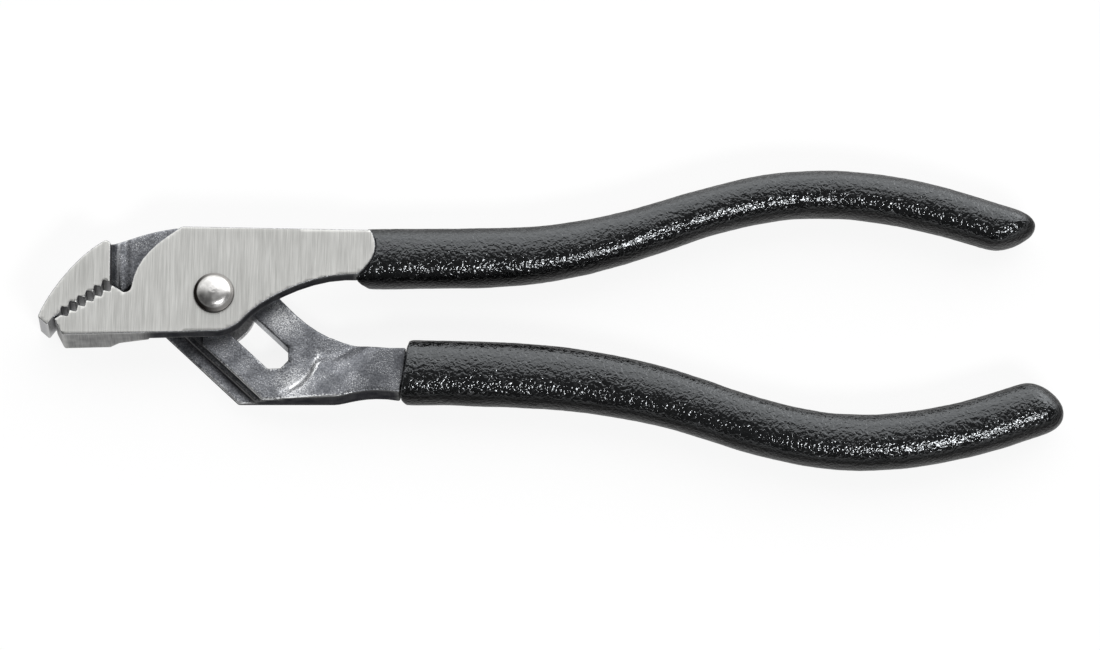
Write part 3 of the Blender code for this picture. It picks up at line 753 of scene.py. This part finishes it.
def add_piece(bm: BMesh, node: str, body: Body,
              crease: Optional[float] = None) -> Object:
    """Put a finished mesh into the scene in place of a CAD node.

    Args:
        bm: Its mesh, already in place. It is freed.
        node: CAD node that it stands for.
        body: Body that carries it.
        crease: Angle in radians past which the shading breaks at an edge.

    Returns:
        The new piece.
    """
    name = node + "_finished"
    mesh = bpy.data.meshes.new(name)
    bm.to_mesh(mesh)
    bm.free()
    mesh.shade_smooth()
    if crease is not None:
        mesh.set_sharp_from_angle(angle=crease)
    piece = bpy.data.objects.new(name, mesh)
    bpy.context.scene.collection.objects.link(piece)
    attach(piece, body.value)
    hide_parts(node)
    LOG.info("%s: %d faces, on %s", name, len(mesh.polygons), body.value)
    return piece


def merged_copy(node: str) -> BMesh:
    """Copy a CAD node's mesh with its loose triangles joined.

    Args:
        node: Name of the node.

    Returns:
        A new bmesh.
    """
    bm = bmesh.new()
    bm.from_mesh(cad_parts[node].data)
    bmesh.ops.remove_doubles(bm, verts=bm.verts, dist=WELD)
    return bm


def modified(bm: BMesh, kind: str, **settings: Any) -> BMesh:
    """Run a modifier over a bmesh and hand back the result.

    Args:
        bm: Mesh to finish. It is freed.
        kind: Blender's type of the modifier.
        **settings: Properties of the modifier.

    Returns:
        The finished bmesh.
    """
    mesh = bpy.data.meshes.new("work")
    bm.to_mesh(mesh)
    bm.free()
    worker = bpy.data.objects.new("work", mesh)
    bpy.context.scene.collection.objects.link(worker)
    modifier = worker.modifiers.new("work", kind)
    for name, value in settings.items():
        setattr(modifier, name, value)
    shaped = worker.evaluated_get(bpy.context.evaluated_depsgraph_get())
    done = bmesh.new()
    done.from_mesh(shaped.to_mesh())
    shaped.to_mesh_clear()
    bpy.data.objects.remove(worker)
    bpy.data.meshes.remove(mesh)
    return done


class Assembly:
    """What the sub-assemblies of the tool share."""

    @staticmethod
    def dress(piece: Object, *finishes: Material) -> None:
        """Give a piece its finishes, in the order in which its faces count them."""
        for finish in finishes:
            piece.data.materials.append(finish)


@dataclass
class Forging(Assembly):
    """A forged half of the tool, finished from its CAD node."""

    node: str
    body: Body
    slot: Slot
    face_height: float
    bare_end: float                 # the sleeve hides what lies past this
    upper_from: float               # no face above this looks down
    recessed: bool
    # Eased edges
    crisp: float = 0.10 * MM
    soft: float = 0.28 * MM
    ease_steps: int = 3
    edge_angle: float = math.radians(24.0)
    flat_angle: float = math.radians(0.6)
    crease: float = math.radians(34.0)
    # Which faces count as flats, walls and the wall of the hub recess, by the Z of their normals
    level: float = 0.98
    upright: float = 0.35
    recess_level: float = 0.97
    ground_depth: float = 0.05 * MM
    back_depth: float = 0.5 * MM
    slot_half: float = 2.7 * MM
    slot_end: float = 17.0 * MM
    recess_heights: Pair = (5.40 * MM, 7.85 * MM)
    recess_along: float = 13.65 * MM
    recess_left: float = 6.0 * MM
    # Ramp from the handle's flat down to the pad
    rim_run: float = 0.9 * MM
    flare_start: float = -11.0 * MM
    flare_ease: float = 0.8
    settle_depth: float = 2.0 * MM
    crest_round: float = 1.2 * MM
    root_slope: float = 0.22
    least_rim: float = 0.05
    dish: float = 0.40
    dish_start: float = -2.0 * MM
    dish_run: float = 5.0 * MM
    # Mesh and marks
    heal_passes: int = 4
    upside_down: float = -0.3
    sliver: float = 0.02 * MM
    grid: float = 0.6 * MM
    grid_snap: float = 0.002 * MM
    sample: float = 0.15 * MM
    wear_reach: float = 0.5 * MM
    dirt_and_shade_reach: float = 0.7 * MM

    def edge_radius(self, edge: bmesh.types.BMEdge) -> float:
        """Radius that an edge of the forging is eased to.

        Args:
            edge: An edge of the merged CAD mesh.

        Returns:
            The radius in metres, or 0 for an edge that stays.
        """
        if len(edge.link_faces) != 2 or edge.calc_face_angle(0.0) < self.edge_angle:
            return 0.0
        if edge.calc_length() < self.crisp:
            return 0.0
        middle = (edge.verts[0].co + edge.verts[1].co) / 2
        if middle.x > self.bare_end or any(self.is_recess(face) for face in edge.link_faces):
            return 0.0
        ground = any(self.is_ground(face) for face in edge.link_faces)
        return self.crisp if ground or not edge.is_convex else self.soft

    def is_ground(self, face: BMFace) -> bool:
        """Whether a face is a flat that the grinding belt reached."""
        return face.normal.z > self.level and face.calc_center_median().z > self.face_height - self.ground_depth

    def is_back(self, face: BMFace) -> bool:
        """Whether a face is the flat back of a jaw."""
        return face.normal.z < -self.level and face.calc_center_median().z < self.back_depth

    def is_wall(self, face: BMFace) -> bool:
        """Whether a face is an outer side wall, not one of the slot or of the hub recess.

        Args:
            face: A face of the forging.

        Returns:
            True for an outer side wall.
        """
        middle = face.calc_center_median()
        along, off = middle.xy.dot(SLOT_LINE), middle.xy.dot(SLOT_LINE.orthogonal())
        in_slot = self.recessed and abs(off) < self.slot_half and -self.slot_half < along < self.slot_end
        return abs(face.normal.z) < self.upright and not in_slot and not self.is_recess(face)

    def is_recess(self, face: BMFace) -> bool:
        """Whether a face belongs to the wall of the hub recess, with its fillet and round.

        Args:
            face: A face of the forging.

        Returns:
            True for a face of that wall.
        """
        middle = face.calc_center_median()
        low, high = self.recess_heights
        inward = (SLOT_LINE * self.recess_along - middle.xy).dot(face.normal.xy) > 0.0
        near = low < middle.z < high and middle.x > self.recess_left
        return self.recessed and near and inward and face.normal.z < self.recess_level

    def face_slot(self, face: BMFace) -> int:
        """Finish of a face: 0 for a ground flat, 1 for a side wall and 2 for the rest."""
        flat = self.is_ground(face) or self.is_back(face)
        return 0 if flat else 1 if self.is_wall(face) else 2

    def build(self) -> Object:
        """Ease the edges, refine the mesh and mark wear, and dirt with painted shade in the corners.

        Returns:
            The finished piece.
        """
        bm = merged_copy(self.node)
        bmesh.ops.dissolve_limit(bm, angle_limit=self.flat_angle, verts=bm.verts, edges=bm.edges)
        convex, hollow = self.edge_points(bm)
        bm = self.eased(bm)
        self.heal(bm)
        for face in bm.faces:
            face.material_index = self.face_slot(face)
        self.refine(bm)
        self.mark(bm, Mark.WEAR, convex, self.wear_reach)
        self.mark(bm, Mark.DIRT_AND_SHADE, hollow, self.dirt_and_shade_reach)
        if self.recessed:
            self.settle_root(bm)
        piece = add_piece(bm, self.node, self.body, self.crease)
        weigh = piece.modifiers.new("even_shading", "WEIGHTED_NORMAL")
        weigh.keep_sharp = True
        return piece

    def edge_points(self, bm: BMesh) -> tuple[kdtree.KDTree, kdtree.KDTree]:
        """Sample the sharp edges of a mesh.

        Args:
            bm: Mesh with sharp edges.

        Returns:
            Points on its convex edges and points on its hollow ones.
        """
        convex: list[Vector] = []
        hollow: list[Vector] = []
        for edge in bm.edges:
            if self.edge_radius(edge):
                near, far = (v.co for v in edge.verts)
                steps = max(2, int(edge.calc_length() / self.sample))
                points = [near.lerp(far, i / steps) for i in range(steps + 1)]
                (convex if edge.is_convex else hollow).extend(points)
        return point_tree(convex), point_tree(hollow)

    def eased(self, bm: BMesh) -> BMesh:
        """Round the edges, each by its own radius.

        Args:
            bm: Merged CAD mesh. It is freed.

        Returns:
            The rounded mesh.
        """
        weight = bm.edges.layers.float.new("bevel_weight_edge")
        for edge in bm.edges:
            edge[weight] = self.edge_radius(edge) / self.soft
        return modified(bm, "BEVEL", limit_method="WEIGHT", width=self.soft, segments=self.ease_steps,
                        profile=0.5, use_clamp_overlap=False, miter_outer="MITER_ARC")

    def heal(self, bm: BMesh) -> None:
        """Close up the slivers that easing a crowded corner leaves upside down on an upper face.

        Args:
            bm: Mesh with eased edges.
        """
        for _ in range(self.heal_passes):
            bm.normal_update()
            slivers = [f for f in bm.faces
                       if f.normal.z < self.upside_down and f.calc_center_median().z > self.upper_from
                       and f.calc_center_median().x < self.bare_end]
            if slivers:
                bmesh.ops.collapse(bm, edges=list({e for f in slivers for e in f.edges}))
        bmesh.ops.dissolve_degenerate(bm, dist=self.sliver, edges=bm.edges)

    def refine(self, bm: BMesh) -> None:
        """Cut the bare part of the mesh into a grid, so that marks can vary inside a flat.

        Args:
            bm: Mesh to cut.
        """
        low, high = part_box(self.node)
        for axis in range(3):
            normal = Vector((axis == 0, axis == 1, axis == 2))
            start, end = low[axis], (min(high.x, self.bare_end) if axis == 0 else high[axis])
            count = int((end - start) / self.grid)
            for i in range(1, count):
                at = normal * (start + (end - start) * i / count)
                near = [f for f in bm.faces if f.calc_center_median().x < self.bare_end]
                verts = {v for f in near for v in f.verts}
                edges = {e for f in near for e in f.edges}
                bmesh.ops.bisect_plane(bm, geom=list(verts) + list(edges) + near, plane_co=at, plane_no=normal,
                                       dist=self.grid_snap)

    @staticmethod
    def mark(bm: BMesh, which: Mark, points: kdtree.KDTree, reach: float) -> None:
        """Write a vertex attribute that fades with the distance to some points.

        Args:
            bm: Mesh to mark.
            which: Attribute to write.
            points: Points at which the mark is full.
            reach: Distance in metres over which it fades.
        """
        layer = bm.verts.layers.float.new(which.value)
        for vert in bm.verts:
            distance = points.find(vert.co)[2]
            vert[layer] = math.exp(-((distance / reach) ** 2)) if distance is not None else 0.0

    def settle_root(self, bm: BMesh) -> None:
        """Let the handle root fall gently from its flat to the pad, with a soft low rim at the recess.

        Args:
            bm: Refined mesh.
        """
        pad, root = self.recess_heights
        wall = {face for face in bm.faces if self.is_recess(face)}
        on_wall = {vert for face in wall for vert in face.verts}
        line = self.recess_line(wall)
        for vert in bm.verts:
            if not self.recess_left < vert.co.x < self.bare_end or vert.co.z < pad - self.settle_depth:
                continue
            outside = vert.co.z > ((pad + root) / 2 if vert in on_wall else pad + self.crisp)
            off = line.find((vert.co.x, vert.co.y, 0.0))[2] * (1.0 if outside else -1.0)
            run = self.rim_run + self.flare_ease * max(0.0, vert.co.y - self.flare_start)
            rise = (self.root_height(vert.co.xy) - pad) * smooth_rise((off + self.rim_run) / (2.0 * run))
            if vert in on_wall:
                vert.co.z = pad + rise
            elif outside:
                vert.co.z = pad + (vert.co.z - pad) * rise / (root - pad)
            else:
                vert.co.z += rise * min(1.0, (vert.co.z - pad + self.settle_depth) / self.settle_depth)
        bmesh.ops.dissolve_degenerate(bm, dist=self.sliver, edges=bm.edges)

    def root_height(self, place: Vector) -> float:
        """Height of the settled handle root.

        Args:
            place: A place in plan.

        Returns:
            The height there, in metres.
        """
        pad, root = self.recess_heights
        from_crest = place - CREST
        past, up = from_crest.dot(CREST_NORMAL), from_crest.dot(CREST_NORMAL.orthogonal())
        drop = self.root_slope * (math.hypot(past, self.crest_round) - past) / 2
        drop += self.dish * max(0.0, up - self.dish_start) * min(1.0, max(0.0, -past / self.dish_run)) ** 2
        return pad + (root - pad) * max(self.least_rim, 1.0 - drop / (root - pad))

    def recess_line(self, wall: set[BMFace]) -> kdtree.KDTree:
        """Plan line of the recess wall at half its height.

        Args:
            wall: Faces of the wall, its fillet and its round.

        Returns:
            Points of the line at height 0.
        """
        middle = sum(self.recess_heights) / 2
        points: list[Vector] = []
        for edge in {edge for face in wall for edge in face.edges}:
            low, high = sorted((vert.co for vert in edge.verts), key=lambda co: co.z)
            if low.z <= middle < high.z:
                points.append(low.lerp(high, (middle - low.z) / (high.z - low.z)).xy.to_3d())
        return point_tree(points)


@dataclass
class Pivot(Assembly):
    """Rivet and washer of the joint."""

    steps: int = 96
    head_radius: float = 3.3 * MM
    crown_radius: float = 2.5 * MM
    crown: float = 0.7 * MM
    rim_rise: float = 0.45 * MM
    rim_round: float = 0.25 * MM
    foot_in: float = 0.05 * MM
    seat_gap: float = 0.03 * MM
    shank_drop: float = 0.1 * MM
    washer_round: float = 0.2 * MM
    washer_bore: float = 1.6 * MM
    washer_flare: float = 2.6 * MM
    crease: float = math.radians(35.0)

    @staticmethod
    def arc(centre: Pair, size: Pair,
            angles: Iterable[float]) -> list[Pair]:
        """Corners of a profile on an arc, from its centre, its half sizes and its angles in degrees."""
        turns = [math.radians(angle) for angle in angles]
        return [(centre[0] + size[0] * math.cos(turn), centre[1] + size[1] * math.sin(turn)) for turn in turns]

    def turned(self, profile: Sequence[Pair]) -> BMesh:
        """Spin a closed profile about the rivet's axis.

        Args:
            profile: Radius and height of each corner.

        Returns:
            The turned body.
        """
        bm = bmesh.new()
        verts = [bm.verts.new((radius, 0.0, height)) for radius, height in profile]
        edges = [bm.edges.new((verts[i - 1], vert)) for i, vert in enumerate(verts)]
        bmesh.ops.spin(bm, geom=verts + edges, axis=(0, 0, 1), cent=(0, 0, 0), angle=math.tau,
                       steps=self.steps, use_merge=True)
        bmesh.ops.remove_doubles(bm, verts=bm.verts, dist=WELD)
        bmesh.ops.recalc_face_normals(bm, faces=bm.faces)
        return bm

    def build_rivet(self) -> Object:
        """Keep the CAD shank and neck, and turn a finer domed head on them.

        Returns:
            The rivet.
        """
        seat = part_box("front_forging")[1].z + self.seat_gap
        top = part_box("rivet")[1].z
        profile = [(0.0, top)]
        profile += self.arc((0.0, top - self.crown), (self.crown_radius, self.crown), range(84, 12, -6))
        profile += self.arc((self.head_radius - self.rim_round, seat + self.rim_rise),
                            (self.rim_round, self.rim_round), range(45, -15, -15))
        profile += [(self.head_radius - self.foot_in, seat), (0.0, seat)]
        bm = merged_copy("rivet")
        whole = bm.verts[:] + bm.edges[:] + bm.faces[:]
        cut = bmesh.ops.bisect_plane(bm, geom=whole, plane_co=(0, 0, seat - self.shank_drop), plane_no=(0, 0, 1),
                                     clear_outer=True)
        bmesh.ops.edgeloop_fill(bm, edges=[e for e in cut["geom_cut"] if isinstance(e, bmesh.types.BMEdge)])
        head = self.turned(profile)
        loose = bpy.data.meshes.new("rivet_head")
        head.to_mesh(loose)
        head.free()
        bm.from_mesh(loose)
        bpy.data.meshes.remove(loose)
        return add_piece(bm, "rivet", Body.PIVOT, self.crease)

    def build_washer(self) -> Object:
        """Turn the washer with rounded rims.

        Returns:
            The washer.
        """
        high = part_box("back_washer")[1]
        radius, thick, soft = high.x, high.z, self.washer_round
        profile = [(self.washer_bore, thick)]
        for start, height in ((90.0, thick - soft), (0.0, soft)):
            profile += self.arc((radius - soft, height), (soft, soft), [start - 22.5 * i for i in range(5)])
        profile += [(self.washer_flare, 0.0), (self.washer_bore, thick / 2)]
        return add_piece(self.turned(profile), "back_washer", Body.PIVOT, self.crease)


@dataclass
class Grip(Assembly):
    """Dipped sleeve of one handle, with the uneven skin of a dip."""

    node: str
    body: Body
    mouth: Sequence[Pair]
    join_angle: float = math.radians(40.0)
    join_shape: float = math.radians(70.0)
    rim_angle: float = math.radians(55.0)
    lip: float = 0.55 * MM
    lip_steps: int = 3
    butt: float = 0.22 * MM
    mouth_depth: float = 3.0 * MM
    mouth_fade: float = 9.0 * MM
    levels: int = 3
    sag: float = 0.10 * MM
    sag_cell: float = 5.0 * MM
    wrinkle: float = 0.030 * MM
    wrinkle_cell: float = 0.8 * MM

    def build(self) -> Object:
        """Round the mouth, smooth the sleeve and roughen its skin.

        Returns:
            The finished grip.
        """
        bm = merged_copy(self.node)
        bmesh.ops.join_triangles(bm, faces=bm.faces, angle_face_threshold=self.join_angle,
                                 angle_shape_threshold=self.join_shape)
        rim = [e for e in bm.edges if e.calc_face_angle(0.0) > self.rim_angle]
        self.shape_mouth(bm)
        bmesh.ops.bevel(bm, geom=rim, offset=self.lip, offset_type="OFFSET", segments=self.lip_steps,
                        profile=0.5, affect="EDGES", material=-1)
        bm = modified(bm, "SUBSURF", levels=self.levels, render_levels=self.levels)
        self.roughen(bm)
        return add_piece(bm, self.node, self.body)

    def shape_mouth(self, bm: BMesh) -> None:
        """Draw the mouth up to the forging and shape its corners, fading along the sleeve.

        Args:
            bm: Sleeve with sharp mouth edges.
        """
        start = min(v.co.x for v in bm.verts)
        mouth = [v.co for v in bm.verts if v.co.x < start + self.mouth_depth]
        middle = [(max(co[i] for co in mouth) + min(co[i] for co in mouth)) / 2 for i in range(3)]
        angles = [math.radians(angle) for angle, _ in self.mouth]
        for vert in bm.verts:
            turn = math.atan2(vert.co.z - middle[2], middle[1] - vert.co.y)
            turn += math.tau if turn < angles[0] else 0.0
            spot = next(i for i in range(1, len(angles)) if turn <= angles[i] + 1e-6)
            share = (turn - angles[spot - 1]) / (angles[spot] - angles[spot - 1])
            shift = (self.mouth[spot - 1][1] * (1.0 - share) + self.mouth[spot][1] * share) * MM - self.butt
            vert.co.x += shift * (1.0 - smooth_rise((vert.co.x - start - self.mouth_depth) / self.mouth_fade))

    def roughen(self, bm: BMesh) -> None:
        """Push the skin in and out by two sizes of noise.

        Args:
            bm: Smooth sleeve.
        """
        bm.normal_update()
        for vert in bm.verts:
            lump = noise.noise(vert.co / self.sag_cell) * self.sag
            grain = noise.noise(vert.co / self.wrinkle_cell) * self.wrinkle
            vert.co += vert.normal * (lump + grain)


@dataclass
class Studio:
    """Floor, light and camera."""

    lens: float = 320.0
    sensor: float = 36.0
    view_width: float = 183.33 * MM
    far_clip: float = 100.0
    elevation: float = math.radians(75.0)
    target: Triple = (55.92 * MM, -4.27 * MM, 5.05 * MM)
    floor_radius: float = 30.0
    floor_sides: int = 64
    floor_colour: Colour = (0.95, 0.95, 0.95)
    floor_tint: float = 0.985
    floor_cloud: float = 0.4
    floor_rough: float = 0.9
    floor_lift: float = 0.86
    front_glow: float = 0.11
    sky_glow: float = 1.2
    sky_edge: Span = (0.12, 0.34)
    wall_glow: float = 0.75
    wall_edge: Span = (0.20, 1.0)
    side_glow: float = 0.8
    side_edge: Span = (0.25, 0.55)
    lamp_place: Triple = (0.44, -0.69, 0.82)
    lamp_size: Pair = (0.45, 0.20)
    lamp_glow: float = 27.0         # brightness of the lamp's surface, where 1 is white

    def build(self) -> None:
        """Make the floor, the world, the camera and the lamp."""
        self.make_floor()
        self.make_world()
        self.make_camera()
        self.make_lamp()

    def make_floor(self) -> None:
        """Lay the pale floor."""
        bm = bmesh.new()
        bmesh.ops.create_circle(bm, cap_ends=True, segments=self.floor_sides, radius=self.floor_radius)
        mesh = bpy.data.meshes.new("floor")
        bm.to_mesh(mesh)
        bm.free()
        floor = bpy.data.objects.new("floor", mesh)
        bpy.context.scene.collection.objects.link(floor)
        graph = FinishGraph("pale_floor")
        cloud = graph.noise(self.floor_cloud, 1.0)
        tint = tuple(self.floor_tint * c for c in self.floor_colour)
        graph.finish(Base_Color=graph.blend(cloud, self.floor_colour, tint), Roughness=self.floor_rough)
        seen, mirrored, through = (graph.add("ShaderNodeLightPath", output=f"Is {ray} Ray")
                                   for ray in ("Camera", "Glossy", "Transmission"))
        glow = graph.add("ShaderNodeEmission", None, {"Color": (1.0, 1.0, 1.0, 1.0), "Strength": 1.0})
        mesh.materials.append(graph.mix_in(glow, seen.most(mirrored).most(through) * self.floor_lift))

    def make_world(self) -> None:
        """Set a world with a bright wall behind the tool and a dim room in front."""
        world = bpy.data.worlds.new("studio")
        world.use_nodes = True
        graph = NodeGraph(world.node_tree)
        toward = graph.add("ShaderNodeTexCoord", output="Generated")
        side, back = graph.split(toward, "X"), graph.split(toward, "Y")
        glow = self.sky_glow * back.step(*self.sky_edge) + self.wall_glow * back.step(*self.wall_edge)
        glow = self.front_glow + glow * (1.0 + self.side_glow * side.step(*self.side_edge))
        background = world.node_tree.nodes["Background"]
        graph.feed(background.inputs["Color"], (1.0, 1.0, 1.0, 1.0))
        graph.feed(background.inputs["Strength"], glow)
        bpy.context.scene.world = world

    def make_camera(self) -> None:
        """Set the camera at the photograph's angle."""
        data = bpy.data.cameras.new("camera")
        data.lens = self.lens
        data.sensor_width = self.sensor
        data.sensor_fit = "HORIZONTAL"
        data.clip_end = self.far_clip
        distance = self.view_width * self.lens / self.sensor
        back = Vector((0.0, -math.cos(self.elevation), math.sin(self.elevation)))
        camera = self.hang(bpy.data.objects.new("camera", data), Vector(self.target) + back * distance)
        bpy.context.scene.camera = camera
        bpy.context.scene.view_settings.view_transform = "Standard"

    def make_lamp(self) -> None:
        """Hang a softbox that faces the tool."""
        light = bpy.data.lights.new("front_strip", "AREA")
        light.shape = "RECTANGLE"
        light.size, light.size_y = self.lamp_size
        light.energy = self.lamp_glow * math.pi * light.size * light.size_y
        self.hang(bpy.data.objects.new("front_strip", light), Vector(self.lamp_place))

    def hang(self, thing: Object, place: Vector) -> Object:
        """Hang a camera or a lamp so that it faces the tool.

        Args:
            thing: Object to hang.
            place: Its place, in metres.

        Returns:
            The object.
        """
        aim = (Vector(self.target) - place).to_track_quat("-Z", "Y")
        thing.matrix_world = Matrix.Translation(place) @ aim.to_matrix().to_4x4()
        bpy.context.scene.collection.objects.link(thing)
        return thing


def main() -> None:
    """Build every piece and the studio."""
    logging.basicConfig(level=logging.INFO, format="%(name)s: %(message)s")
    steels = [steel.material() for steel in (GroundSteel(), ShearSide(), TumbledSteel())]
    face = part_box("front_forging")[1].z
    front = Forging("front_forging", Body.UPPER, Slot.GROUND, face_height=face, recessed=False,
                    bare_end=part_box("upper_grip")[0].x + 5.0 * MM, upper_from=face - 0.6 * MM)
    rear = Forging("rear_forging", Body.LOWER, Slot.FORGED, face_height=face, recessed=True,
                   bare_end=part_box("lower_grip")[0].x + 3.0 * MM, upper_from=3.0 * MM)
    for forging in (front, rear):
        forging.dress(forging.build(), *steels)
    pivot = Pivot()
    pivot.dress(pivot.build_rivet(), PolishedRivet(face).material())
    pivot.dress(pivot.build_washer(), WasherSteel().material())
    vinyl = DippedVinyl().material()
    for grip in (Grip("upper_grip", Body.UPPER, UPPER_MOUTH), Grip("lower_grip", Body.LOWER, LOWER_MOUTH)):
        grip.dress(grip.build(), vinyl)
    Studio().build()


if __name__ == "__main__":
    main()
